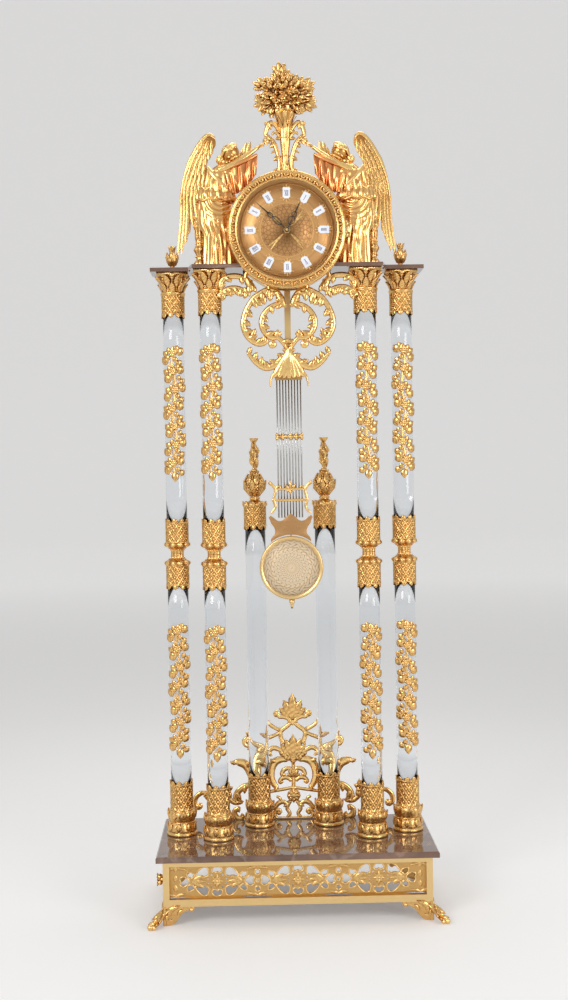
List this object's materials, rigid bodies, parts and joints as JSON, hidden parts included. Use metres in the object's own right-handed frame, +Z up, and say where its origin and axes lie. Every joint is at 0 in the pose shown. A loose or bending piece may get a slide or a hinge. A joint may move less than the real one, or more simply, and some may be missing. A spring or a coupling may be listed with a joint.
{
  "type": "floor clock",
  "caption": "Floor clock with crystal-rod columns, gilt figures leaning on a round dial, and a swinging gridiron pendulum over a pierced base.",
  "frame": {"origin": "on the floor under the middle of the base", "axes": "+Z up, the dial faces -Y, +X to the viewer's right"},
  "size_m": [0.6628, 0.3708, 1.917],
  "materials": {
    "gilt_brass": "polished gilt",
    "marble": "polished veined stone",
    "crystal": "clear polished",
    "dial_brass": "satin, chased",
    "white_enamel": "gloss enamel",
    "black_hands": "satin black",
    "steel": "polished",
    "movement_plastic": "matt",
    "battery_wrap": "gloss"
  },
  "bodies": {
    "case": {"base_frame": "gilt_brass", "front_fret": "gilt_brass", "back_fret": "gilt_brass", "side_frets": "gilt_brass", "side_boss": "gilt_brass", "feet": "gilt_brass", "base_slab": "marble", "column_bases": "gilt_brass", "column_screws": "steel", "glass_rods": "crystal", "waist_joints": "gilt_brass", "column_capitals": "gilt_brass", "rear_capitals": "gilt_brass", "rear_finials": "gilt_brass", "column_finials": "gilt_brass", "lower_leaf_sprays": "gilt_brass", "upper_leaf_sprays": "gilt_brass", "rear_crest": "gilt_brass", "top_plate": "marble", "drum_case": "gilt_brass", "dial_plate": "dial_brass", "numeral_plaques": "white_enamel", "movement_case": "movement_plastic", "movement_cover": "movement_plastic", "fixing_nut": "gilt_brass", "step_motor": "movement_plastic", "battery": "battery_wrap", "drive_coil": "movement_plastic", "pendulum_cock": "gilt_brass", "figures": "gilt_brass", "wings": "gilt_brass", "seats": "gilt_brass", "vase": "gilt_brass", "vase_handles": "gilt_brass", "bouquet": "gilt_brass", "apron": "gilt_brass", "brackets": "gilt_brass"},
    "bezel": {"bezel": "gilt_brass", "dial_glass": "crystal"},
    "back_door": {"back_door": "gilt_brass"},
    "minute_hand": {"minute_hand": "black_hands", "hand_cap": "black_hands", "minute_arbor": "steel"},
    "hour_hand": {"hour_hand": "black_hands", "hour_wheel": "movement_plastic"},
    "minute_wheel": {"minute_wheel": "movement_plastic"},
    "pendulum": {"suspension_spring": "steel", "pendulum_rod": "gilt_brass", "drive_magnet": "steel", "gridiron_rods": "steel", "gridiron_bridge": "gilt_brass", "gridiron_clamp": "gilt_brass", "lyre_frame": "gilt_brass", "lyre_plate": "gilt_brass", "rating_screw": "steel"},
    "bob": {"bob": "gilt_brass"},
    "rating_nut": {"rating_nut": "gilt_brass"}
  },
  "joints": [
    {"name": "bezel_hinge", "type": "hinge", "parent": "case", "child": "bezel", "pos_m": [0.1365, -0.0595, 1.529], "axis": [0, 0, 1], "range_deg": [0, 100]},
    {"name": "door_hinge", "type": "hinge", "parent": "case", "child": "back_door", "pos_m": [-0.07, 0.04535, 1.529], "axis": [0, 0, 1], "range_deg": [0, 100]},
    {"name": "minute_hand_spin", "type": "hinge", "parent": "case", "child": "minute_hand", "pos_m": [0, -0.065, 1.529], "axis": [0, 1, 0], "continuous": true},
    {"name": "hour_hand_spin", "type": "hinge", "parent": "case", "child": "hour_hand", "pos_m": [0, -0.063, 1.529], "axis": [0, 1, 0], "continuous": true},
    {"name": "minute_wheel_spin", "type": "hinge", "parent": "case", "child": "minute_wheel", "pos_m": [0, -0.053, 1.511], "axis": [0, 1, 0], "continuous": true},
    {"name": "pendulum_swing", "type": "hinge", "parent": "case", "child": "pendulum", "pos_m": [0, 0.01, 1.585], "axis": [0, 1, 0], "range_deg": [-3.5, 3.5]},
    {"name": "bob_slide", "type": "slide", "parent": "pendulum", "child": "bob", "axis": [0, 0, 1], "range_m": [-0.002, 0.002]},
    {"name": "rating_nut_turn", "type": "hinge", "parent": "bob", "child": "rating_nut", "pos_m": [0, 0.01, 0.69], "axis": [0, 0, 1], "range_deg": [-720, 720]}
  ],
  "couplings": [
    {"joint": "hour_hand_spin", "follows": "minute_hand_spin", "ratio": 0.083333},
    {"joint": "minute_wheel_spin", "follows": "minute_hand_spin", "ratio": -0.33333},
    {"joint": "rating_nut_turn", "follows": "bob_slide", "rad_per_m": 6283.2}
  ]
}
